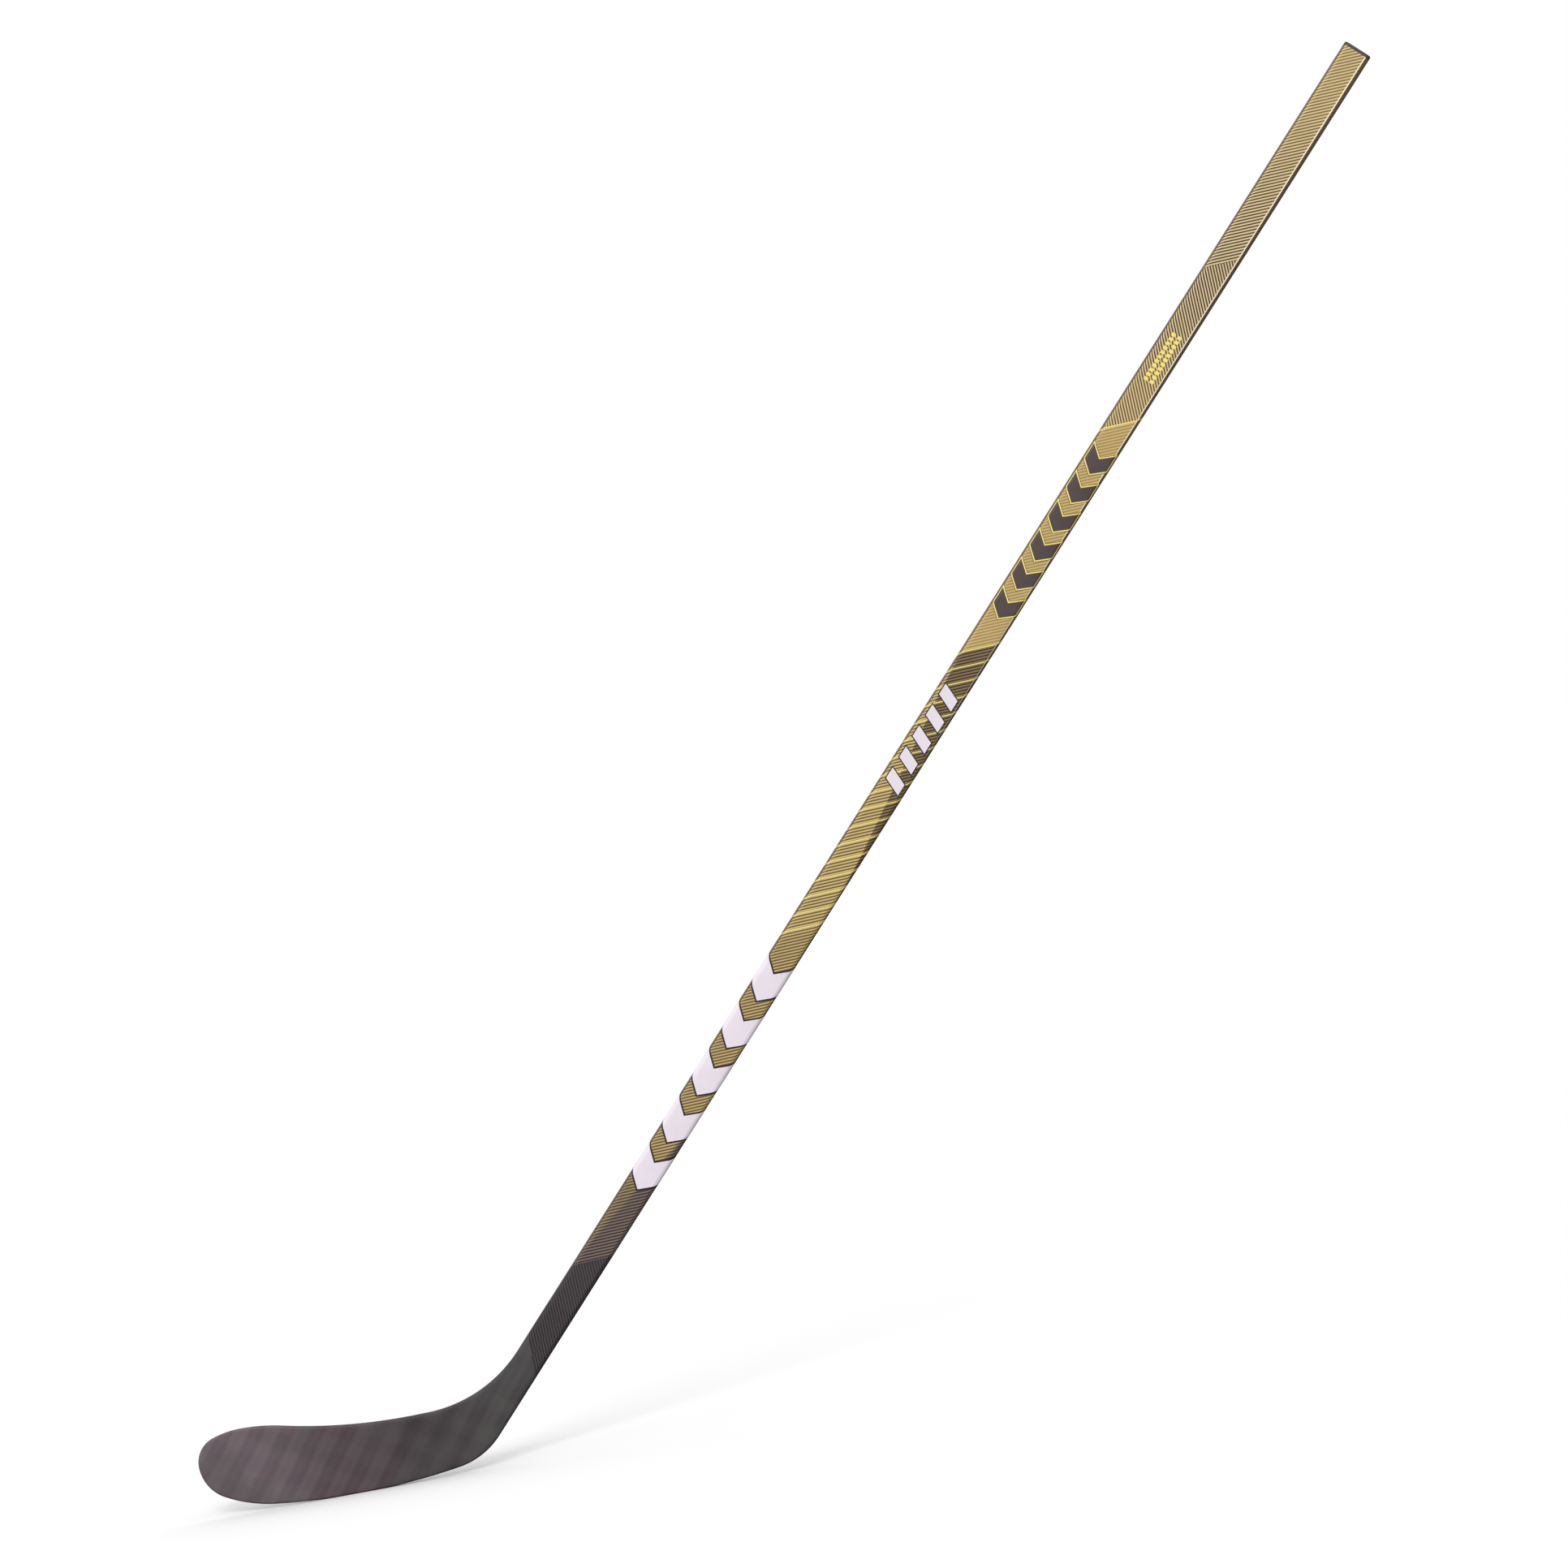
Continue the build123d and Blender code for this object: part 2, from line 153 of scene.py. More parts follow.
# the fine printed lines, in millimetres along the shaft, and where their zones meet
RISING_PITCH = 4.0
FALLING_PITCH = 3.85
RISING_SHARE = 0.5              # of each pitch that the line takes
FALLING_SHARE = 0.52
LINE_BLUR = 0.24
BUTT_ZONE_END = 245.9
DARK_ZONE_START = 685.7
LOWER_ZONE_START = 1012
LOWER_ZONE_BLUR = 4
CHARCOAL_START = 1387.7
LINES_END = 1497.6
LINES_END_BLUR = 0.4
ZONE_BLUR = 0.3

# down, between which a zone's colours change
BUTT_DARKENS = (20, 215)
FALLING_LINES_SOFTEN = (290, 410)
LOWER_GOLD_DULLS = (1255, 1325)
# the painted highlight by the back edge fades out between these
PAINTED_HIGHLIGHT_SHOWS = (900, 500)

# long slanted borders: down, the girth there, and how fast the girth changes
DARK_WEDGE = (700.4, -14.56, 0.1145)
BROWN_WEDGE = (1217.5, 14.56, -0.166)
# the border of the painted shade along the back edge; the painted highlight runs just inside it
PAINTED_SHADE_WEDGE = (0, 10.6, 3.6 / 905)

# X, between which the blade's painted shade and light change
HEEL_TO_MIDDLE = (75, 5)
MIDDLE_TO_TOE = (0, -95)
BLADE_TO_NECK = (85, 135)


# ------------------------------------------------------------------ mesh helpers
def add_mesh(name, points, faces, normals=None):
    """A smooth mesh object from points and faces, with exact normals where they are given."""
    mesh = bpy.data.meshes.new(name)
    mesh.from_pydata([tuple(p) for p in points], [], faces)
    mesh.validate()
    mesh.polygons.foreach_set("use_smooth", [True] * len(mesh.polygons))
    if normals is not None:
        mesh.normals_split_custom_set_from_vertices([tuple(n) for n in normals])
    obj = bpy.data.objects.new(name, mesh)
    bpy.context.scene.collection.objects.link(obj)
    return obj


def finish_piece(obj, material, slot, *nodes):
    """Gives a piece its material and its body, and hides the CAD nodes that it stands for; its slot is not
    used.
    """
    obj.data.materials.clear()
    obj.data.materials.append(material)
    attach(obj, "root")
    if nodes:
        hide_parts(*nodes)
    return obj


def half_depth(down):
    """Half the shaft's depth, which tapers in its last stretch."""
    if down <= TAPER_DOWN:
        return HALF_DEPTH
    share = (down - TAPER_DOWN) / (HOSEL_DOWN - TAPER_DOWN)
    return HALF_DEPTH + share * (HOSEL_HALF_DEPTH - HALF_DEPTH)


def shaft_point(down, across, y):
    """A place given by the shaft's own directions."""
    return BUTT - down * ALONG + across * ACROSS + Vector((0, y, 0))


def corner_angle(girth):
    """How far round the corner a girth lies, in radians: 0 on the wide face, 90 degrees past it."""
    q = (abs(girth) - (HALF_WIDTH - CORNER)) / CORNER - 1
    q = max(-1.0, min(1.0, q))
    return math.pi / 4 + math.asin(q / math.sqrt(2))


def wrapped(down, girth, lift, front=True):
    """A point on the shaft's skin.  Girth is across on the wide face, and goes on round the
    corner onto the narrow face: it always equals across plus the distance back from the face."""
    side = math.copysign(1.0, girth)
    deep = half_depth(down)
    flat = HALF_WIDTH - CORNER
    turned = HALF_WIDTH + CORNER
    if abs(girth) <= flat:
        across, y = girth, -(deep + lift)
    elif abs(girth) <= turned:
        angle = corner_angle(girth)
        across = side * (flat + (CORNER + lift) * math.sin(angle))
        y = -(deep - CORNER + (CORNER + lift) * math.cos(angle))
    else:
        across = side * (HALF_WIDTH + lift)
        y = -(deep - (abs(girth) - HALF_WIDTH))
    return shaft_point(down, across, y if front else -y)


# ------------------------------------------------------------------ the shaft's outer ply
def shaft_ring(down):
    """Points and outward normals once round the shaft, starting at the front edge's middle."""
    deep = half_depth(down)
    quarter = []
    for i in range(CORNER_STEPS + 1):
        angle = math.pi / 2 * i / CORNER_STEPS
        across = HALF_WIDTH - CORNER + CORNER * math.sin(angle)
        y = deep - CORNER + CORNER * math.cos(angle)
        quarter.append((across, y, math.sin(angle), math.cos(angle)))
    ring = []
    for side, face, order in ((1, -1, 1), (1, 1, -1), (-1, 1, 1), (-1, -1, -1)):
        for across, y, normal_across, normal_y in quarter[::order]:
            ring.append((side * across, face * y, side * normal_across, face * normal_y))
    points = [shaft_point(down, across, y) for across, y, _, _ in ring]
    normals = [na * ACROSS + Vector((0, ny, 0)) for _, _, na, ny in ring]
    return points, normals


def shaft_ring_inset(down, inset):
    """A ring moved in from the skin, for the inside of a wall."""
    points, normals = shaft_ring(down)
    return [p - inset * n for p, n in zip(points, normals)], normals


def tube_section(name, first, last, outer, inner):
    """A closed length of tube wall between two depths under the shaft's skin."""
    stops = [first, last]
    if first < TAPER_DOWN < last:
        stops = [first, TAPER_DOWN, last]
    points, normals, faces = [], [], []
    for inset, facing in ((outer, 1), (inner, -1)):
        for down in stops:
            ring, ring_normals = shaft_ring_inset(down, inset)
            points += ring
            normals += [facing * n for n in ring_normals]
    count = len(points) // (2 * len(stops))
    inside = count * len(stops)
    for row in range(len(stops) - 1):
        for i in range(count):
            j = (i + 1) % count
            a, b = row * count, (row + 1) * count
            faces.append((a + i, b + i, b + j, a + j))
            faces.append((inside + a + j, inside + b + j, inside + b + i, inside + a + i))
    for row, facing in ((0, 1), (len(stops) - 1, -1)):
        base = len(points)
        edge = [points[row * count + i] for i in range(count)]
        bore = [points[inside + row * count + i] for i in range(count)]
        points += edge + bore
        normals += [facing * ALONG] * (2 * count)
        for i in range(count):
            j = (i + 1) % count
            face = (base + i, base + j, base + count + j, base + count + i)
            faces.append(face if facing > 0 else face[::-1])
    return add_mesh(name, points, faces, normals)


# ------------------------------------------------------------------ the neck and blade
def side_point(along, across):
    """A place in the side view, as (X, Z), along and across the shaft from where it meets the ice."""
    return (
        FOOT_X + along * ALONG.x + across * ACROSS.x,
        along * ALONG.z + across * ACROSS.z,
    )


def straight(start, end, count=40):
    """Points on a straight line, without its start."""
    return [
        (start[0] + (end[0] - start[0]) * i / count, start[1] + (end[1] - start[1]) * i / count)
        for i in range(1, count + 1)
    ]


def tangent_arc(start, heading, end, count=60):
    """Points on the arc that leaves start at a heading and passes through end; and its last heading."""
    chord = math.hypot(end[0] - start[0], end[1] - start[1])
    bearing = math.atan2(end[1] - start[1], end[0] - start[0])
    turn = 2 * math.remainder(bearing - heading, 2 * math.pi)
    radius = chord / (2 * math.sin(turn / 2))
    points = []
    for i in range(1, count + 1):
        part = turn * i / count
        reach = 2 * radius * math.sin(part / 2)
        points.append(
            (start[0] + reach * math.cos(heading + part / 2), start[1] + reach * math.sin(heading + part / 2))
        )
    return points, heading + turn


def heel_tangents():
    """Where the heel's arc leaves the back edge and meets the rocker."""
    centre = (SOLE_HALF_FLAT, SOLE_RADIUS)
    inner = side_point(0, HALF_WIDTH - HEEL_RADIUS)
    dx, dz = inner[0] - centre[0], inner[1] - centre[1]
    half = dx * ALONG.x + dz * ALONG.z
    rest = dx * dx + dz * dz - (SOLE_RADIUS - HEEL_RADIUS) ** 2
    along = -half - math.sqrt(half * half - rest)
    middle = side_point(along, HALF_WIDTH - HEEL_RADIUS)
    scale = SOLE_RADIUS / (SOLE_RADIUS - HEEL_RADIUS)
    on_sole = (
        centre[0] + (middle[0] - centre[0]) * scale,
        centre[1] + (middle[1] - centre[1]) * scale,
    )
    return side_point(along, HALF_WIDTH), on_sole


def sole_height(x):
    """Height of the rocker over the ice."""
    return SOLE_RADIUS - math.sqrt(SOLE_RADIUS**2 - (abs(x) - SOLE_HALF_FLAT) ** 2)


def bottom_path():
    """The back edge, heel, rocker and lower toe, from the shaft's end to the tip, with its key places."""
    on_edge, on_sole = heel_tangents()
    start = side_point(BUTT_ALONG - PLY_END, HALF_WIDTH)
    middle_edge = side_point(BACK_EDGE_SPLIT, HALF_WIDTH)
    points = [start]
    keys = [0]

    def extend(more, key=True):
        points.extend(more)
        if key:
            keys.append(len(points) - 1)

    extend(straight(start, middle_edge))
    extend(straight(middle_edge, on_edge))
    heel, heading = tangent_arc(on_edge, math.pi + LIE, on_sole)
    extend(heel)
    rocker, _ = tangent_arc(on_sole, heading, (SOLE_HALF_FLAT, 0))
    extend(rocker)
    extend(straight((SOLE_HALF_FLAT, 0), (-SOLE_HALF_FLAT, 0)), False)
    toe_start = (TOE_START, sole_height(TOE_START))
    rocker, heading = tangent_arc((-SOLE_HALF_FLAT, 0), math.pi, toe_start)
    extend(rocker)
    under, heading = tangent_arc(toe_start, heading, TOE_UNDER)
    extend(under)
    tip, heading = tangent_arc(under[-1], heading, TOE_TIP)
    extend(tip)
    return points, keys, heading


def top_path(tip_heading):
    """The front edge, neck, top edge and upper toe, from the shaft's end to the tip."""
    start = side_point(BUTT_ALONG - PLY_END, -HALF_WIDTH)
    rise = BLADE_TOP + NECK_RADIUS
    centre_along = (rise - (HALF_WIDTH + NECK_RADIUS) * -ACROSS.z) / ALONG.z
    neck_start = side_point(centre_along, -HALF_WIDTH)
    neck_end = (side_point(centre_along, -HALF_WIDTH - NECK_RADIUS)[0], BLADE_TOP)
    up, heading = tangent_arc(TOE_TIP, tip_heading, TOE_OVER)
    over, heading = tangent_arc(up[-1], heading, TOE_CREST)
    fall, heading = tangent_arc(over[-1], heading, TOE_BACK)
    level, _ = tangent_arc(fall[-1], heading, (TOP_END, BLADE_TOP), 120)
    toe_first = [TOE_TIP] + up + over + fall + level
    points = [start]
    keys = [0]
    points += straight(start, neck_start)
    keys.append(len(points) - 1)
    neck, _ = tangent_arc(neck_start, math.pi + LIE, neck_end, NECK_POINTS)
    points += neck
    keys.append(keys[-1] + NECK_SPLIT)
    keys.append(len(points) - 1)
    base = len(points)
    back = toe_first[::-1]
    points += back
    keys += [base + nearest(back, x) for x in TOP_SPLITS]
    keys.append(len(points) - 1)
    return points, keys


def nearest(points, x):
    """Index of the point whose X is nearest."""
    return min(range(len(points)), key=lambda i: abs(points[i][0] - x))


def lengths(points):
    """How far along the path each point lies."""
    steps = np.linalg.norm(np.diff(np.array(points), axis=0), axis=1)
    return np.concatenate([[0], np.cumsum(steps)])


def resampled(points, keys, counts):
    """The path's points, counts[i] of them evenly spaced between each pair of key places."""
    run = lengths(points)
    stops = [0.0]
    for first, last, count in zip(keys, keys[1:], counts):
        stops += list(np.linspace(run[first], run[last], count + 1)[1:])
    xs = np.interp(stops, run, [p[0] for p in points])
    zs = np.interp(stops, run, [p[1] for p in points])
    return np.stack([xs, zs], 1)


def station_value(x, column):
    """One column of BLADE_STATIONS at any X, in metres, on a smooth cubic through the stations."""
    xs = [s[0] * MM for s in BLADE_STATIONS]
    ys = [s[column] * MM for s in BLADE_STATIONS]
    i = min(max(int(np.searchsorted(xs, x)) - 1, 0), len(xs) - 2)
    slopes = np.gradient(ys, xs)
    h = xs[i + 1] - xs[i]
    f = (x - xs[i]) / h
    return (
        (2 * f**3 - 3 * f**2 + 1) * ys[i]
        + (f**3 - 2 * f**2 + f) * h * slopes[i]
        + (3 * f**2 - 2 * f**3) * ys[i + 1]
        + (f**3 - f**2) * h * slopes[i + 1]
    )


def edge_radius(x):
    """Rounding of the blade's rim, growing to the shaft's corner radius up the neck."""
    share = min(max((x - RIM_GROWS_FROM) / RIM_GROWS_OVER, 0.0), 1.0)
    share = share * share * (3 - 2 * share)
    return RIM_RADIUS * (1 - share) + CORNER * share


def distance_to(outline, places):
    """Least distance from each place to the closed outline, in the side view."""
    a = outline
    b = np.roll(outline, -1, axis=0)
    ab = b - a
    size = np.maximum((ab**2).sum(1), 1e-16)
    result = np.empty(len(places))
    for k, p in enumerate(places):
        f = np.clip(((p - a) * ab).sum(1) / size, 0, 1)
        result[k] = np.sqrt(((a + f[:, None] * ab - p) ** 2).sum(1).min())
    return result


def blade_shell():
    """The neck and blade as one closed skin, from the end of the ply to the toe."""
    bottom, bottom_keys, tip_heading = bottom_path()
    top, top_keys = top_path(tip_heading)
    low = resampled(bottom, bottom_keys, ROWS_BETWEEN)
    high = resampled(top, top_keys, ROWS_BETWEEN)
    # the cut at the joint is no real edge, so the outline is carried on past it
    past = [side_point(BUTT_ALONG - PLY_END + OUTLINE_SPARE, a) for a in (HALF_WIDTH, -HALF_WIDTH)]
    outline = np.array([past[0], *bottom, *top[::-1], past[1]])
    corner_steps, face_steps, side_steps = 7, 14, 4
    points, faces = [], []
    rows = len(low)
    places = []
    for row in range(rows):
        span = float(np.linalg.norm(high[row] - low[row]))
        radius = min(edge_radius(low[row][0]), span / 2)
        near = [radius * (1 - math.cos(math.pi / 2 * i / corner_steps)) for i in range(corner_steps + 1)]
        inner = [radius + (span - 2 * radius) * i / face_steps for i in range(1, face_steps)]
        reach = near + inner + [span - d for d in near[::-1]]
        for d in reach:
            share = d / span if span > 1e-9 else 0.5
            places.append(low[row] + (high[row] - low[row]) * share)
    per_row = len(places) // rows
    away = distance_to(outline, np.array(places))
    ring_size = 2 * per_row + 2 * (side_steps - 1)
    for row in range(rows):
        front, back = [], []
        for i in range(per_row):
            x, z = places[row * per_row + i]
            thick = station_value(x, THICKNESS)
            middle = station_value(x, CURVED)
            radius = min(edge_radius(x), thick / 2)
            d = min(float(away[row * per_row + i]), radius)
            half = thick / 2 - radius + math.sqrt(max(radius**2 - (radius - d) ** 2, 0.0))
            front.append(Vector((x, middle - half, z)))
            back.append(Vector((x, middle + half, z)))
        top_side = [front[-1].lerp(back[-1], i / side_steps) for i in range(1, side_steps)]
        low_side = [back[0].lerp(front[0], i / side_steps) for i in range(1, side_steps)]
        points += front + top_side + back[::-1] + low_side
    for row in range(rows - 1):
        for i in range(ring_size):
            j = (i + 1) % ring_size
            a, b = row * ring_size, (row + 1) * ring_size
            faces.append((a + i, a + j, b + j, b + i))
    shell = add_mesh("blade_shell", points, faces)
    tidy = bmesh.new()
    tidy.from_mesh(shell.data)
    bmesh.ops.remove_doubles(tidy, verts=tidy.verts, dist=MERGE)
    bmesh.ops.dissolve_degenerate(tidy, edges=tidy.edges, dist=MICRON)
    rim = [edge for edge in tidy.edges if edge.is_boundary]
    cap = bmesh.ops.contextual_create(tidy, geom=rim)["faces"]
    bmesh.ops.recalc_face_normals(tidy, faces=tidy.faces)
    for face in cap:
        for edge in face.edges:
            edge.smooth = False
    tidy.to_mesh(shell.data)
    tidy.free()
    shell.data.polygons.foreach_set("use_smooth", [True] * len(shell.data.polygons))
    return shell


# ------------------------------------------------------------------ the printed films
def clipped(shape, level, keep_above):
    """A convex outline in (down, girth) cut by a line of constant girth."""
    kept = []
    sign = 1 if keep_above else -1
    for (u0, v0), (u1, v1) in zip(shape, shape[1:] + shape[:1]):
        in0 = sign * (v0 - level) >= 0
        in1 = sign * (v1 - level) >= 0
        if in0:
            kept.append((u0, v0))
        if in0 != in1:
            f = (level - v0) / (v1 - v0)
            kept.append((u0 + f * (u1 - u0), level))
    return kept


def girth_levels():
    """Girths at which a film is creased so that it follows the corners."""
    flat, turned = HALF_WIDTH - CORNER, HALF_WIDTH + CORNER
    bends = []
    for i in range(CORNER_STEPS + 1):
        angle = math.pi / 2 * i / CORNER_STEPS
        bends.append(flat + CORNER * (math.sin(angle) + 1 - math.cos(angle)))
    end = HALF_WIDTH + HALF_DEPTH
    one_side = bends + [turned + (end - turned) / 2, end]
    return [-v for v in one_side[::-1]] + one_side


def film(name, shapes, lift):
    """Closed films in the given convex shapes on both wide faces, from the skin up to a height."""
    levels = girth_levels()
    points, tops = [], []
    known = {}

    def corner(down, girth, front):
        """Index of a place's upper point; its lower one, on the skin, comes next."""
        limit = HALF_WIDTH + half_depth(down)
        girth = max(-limit, min(limit, girth))
        upper = wrapped(down, girth, lift, front)
        key = tuple(round(c / MERGE) for c in upper)
        if key not in known:
            known[key] = len(points)
            points.extend([upper, wrapped(down, girth, 0.0, front)])
        return known[key]

    for front in (True, False):
        for shape in shapes:
            for low, high in zip(levels, levels[1:]):
                piece = clipped(clipped(shape, low, True), high, False)
                face = [corner(down, girth, front) for down, girth in piece]
                face = [k for i, k in enumerate(face) if k != face[i - 1]]
                if len(face) >= 3:
                    tops.append(face if front else face[::-1])
    steps = {(a, b) for face in tops for a, b in zip(face, face[1:] + face[:1])}
    edges = [(a, b) for a, b in steps if (b, a) not in steps]
    lowers = [[k + 1 for k in face[::-1]] for face in tops]
    walls = [(b, a, a + 1, b + 1) for a, b in sorted(edges)]
    obj = add_mesh(name, points, tops + lowers + walls)
    sharp = {frozenset(edge) for edge in edges}
    sharp |= {frozenset((a + 1, b + 1)) for a, b in edges}
    for edge in obj.data.edges:
        edge.use_edge_sharp = frozenset(edge.vertices) in sharp
    return obj


def slanted_bar(down, width, half_height, lean=1.0):
    """A bar across the shaft, leaning by lean times its height along it, as a list of one shape."""
    low = lean * half_height
    shape = [
        (down + low, -half_height),
        (down + low + width, -half_height),
        (down - low + width, half_height),
        (down - low, half_height),
    ]
    return [[(u * MM, v * MM) for u, v in shape]]


def chevron(down, width, point, half_height, grow, reach=None):
    """A V along the shaft with its point towards the blade, as two arms, grown all round.
    Its arms end at the grown half height, or at the reach where one is given."""
    slope = point / half_height
    end = half_height + grow if reach is None else reach
    lead = grow * math.hypot(1, slope)
    arms = []
    for side in (-1, 1):
        tail = point - slope * end
        shape = [
            (down - lead + tail, side * end),
            (down + width + lead + tail, side * end),
            (down + width + lead + point, 0),
            (down - lead + point, 0),
        ]
        arms.append([(u * MM, v * MM) for u, v in (shape if side < 0 else shape[::-1])])
    return arms


# ------------------------------------------------------------------ materials
def linear(*rgb):
    """A colour given as 0 to 255 display values, as linear light."""
    result = []
    for value in rgb:
        v = value / 255
        result.append(v / 12.92 if v <= 0.04045 else ((v + 0.055) / 1.055) ** 2.4)
    return (*result, 1.0)


class Shader:
    """A material's node tree, built by short calls."""

    def __init__(self, name, **sockets):
        self.material = bpy.data.materials.new(name)
        self.material.use_nodes = True
        self.tree = self.material.node_tree
        self.tree.nodes.clear()
        self.bsdf = self.add("ShaderNodeBsdfPrincipled")
        output = self.add("ShaderNodeOutputMaterial")
        self.tree.links.new(self.bsdf.outputs[0], output.inputs[0])
        self.coords = self.add("ShaderNodeTexCoord").outputs["Object"]
        for socket, value in sockets.items():
            self.bsdf.inputs[socket.replace("_", " ")].default_value = value

    def add(self, kind, **settings):
        node = self.tree.nodes.new(kind)
        for key, value in settings.items():
            setattr(node, key, value)
        return node

    def put(self, value, socket):
        if isinstance(value, bpy.types.NodeSocket):
            self.tree.links.new(value, socket)
        else:
            socket.default_value = value

    def math(self, operation, a, b=0.0, c=0.0):
        node = self.add("ShaderNodeMath", operation=operation)
        for value, socket in zip((a, b, c), node.inputs):
            self.put(value, socket)
        return node.outputs[0]

    def dot(self, vector, direction):
        node = self.add("ShaderNodeVectorMath", operation="DOT_PRODUCT")
        self.put(vector, node.inputs[0])
        node.inputs[1].default_value = direction
        return node.outputs["Value"]

    def ramp(self, value, low, high, smooth=True):
        """0 below low and 1 above high, falling instead if low is above high."""
        node = self.add("ShaderNodeMapRange")
        node.interpolation_type = "SMOOTHSTEP" if smooth else "LINEAR"
        node.clamp = True
        first, last = (low, high) if low < high else (high, low)
        self.put(value, node.inputs["Value"])
        node.inputs["From Min"].default_value = first
        node.inputs["From Max"].default_value = last
        node.inputs["To Min"].default_value = 0.0 if low < high else 1.0
        node.inputs["To Max"].default_value = 1.0 if low < high else 0.0
        return node.outputs["Result"]

    def mix(self, factor, a, b):
        node = self.add("ShaderNodeMix", data_type="RGBA")
        node.clamp_factor = True
        self.put(factor, node.inputs[0])
        self.put(a, node.inputs[6])
        self.put(b, node.inputs[7])
        return node.outputs[2]

    def noise(self, scale, detail=3.0, rough=0.5, vector=None):
        node = self.add("ShaderNodeTexNoise")
        self.put(vector or self.coords, node.inputs["Vector"])
        node.inputs["Scale"].default_value = scale
        node.inputs["Detail"].default_value = detail
        node.inputs["Roughness"].default_value = rough
        return node.outputs["Fac"]

    def lines(self, phase, share, soft=0.12):
        """1 on lines that take the given share of each unit of phase."""
        wave = self.math("ABSOLUTE", self.math("SUBTRACT", self.math("FRACT", phase), 0.5))
        edge = share / 2
        return self.ramp(wave, edge + soft / 2, edge - soft / 2)

    def bump(self, height, distance, strength=1.0):
        node = self.add("ShaderNodeBump")
        node.inputs["Strength"].default_value = strength
        node.inputs["Distance"].default_value = distance
        self.put(height, node.inputs["Height"])
        self.tree.links.new(node.outputs[0], self.bsdf.inputs["Normal"])

    def past(self, value, place, blur):
        """0 before a place and 1 past it."""
        return self.ramp(value, place - blur, place + blur)

    def border(self, down, start, girth, slope):
        """Girth of a straight border that has the given girth at start and leans by slope."""
        return self.math("MULTIPLY_ADD", self.math("SUBTRACT", down, start), slope, girth)

    def falling_lines(self, falling):
        """1 on the fine lines that lean the other way from the butt's."""
        return self.lines(self.math("DIVIDE", falling, FALLING_PITCH), FALLING_SHARE, LINE_BLUR)

    def charcoal(self, falling_lines):
        """The lined charcoal just above the neck."""
        return self.mix(falling_lines, linear(66, 60, 63), linear(34, 28, 30))

    def shaft_places(self):
        """Down and girth on the shaft's skin, in millimetres."""
        along = self.dot(self.coords, tuple(ALONG))
        down = self.math("MULTIPLY", self.math("SUBTRACT", BUTT.dot(ALONG), along), 1000)
        across = self.dot(self.coords, tuple(ACROSS))
        across = self.math("MULTIPLY", self.math("SUBTRACT", across, BUTT.dot(ACROSS)), 1000)
        deep = self.math("MULTIPLY", self.math("ABSOLUTE", self.dot(self.coords, (0, 1, 0))), 1000)
        taper = self.ramp(down, TAPER_DOWN * 1000, HOSEL_DOWN * 1000, smooth=False)
        lost = self.math("MULTIPLY", taper, (HALF_DEPTH - HOSEL_HALF_DEPTH) * 1000)
        face = self.math("SUBTRACT", HALF_DEPTH * 1000, lost)
        back = self.math("MAXIMUM", self.math("SUBTRACT", face, deep), 0.0)
        side = self.math("SIGN", across)
        girth = self.math("MULTIPLY_ADD", side, back, across)
        return down, girth


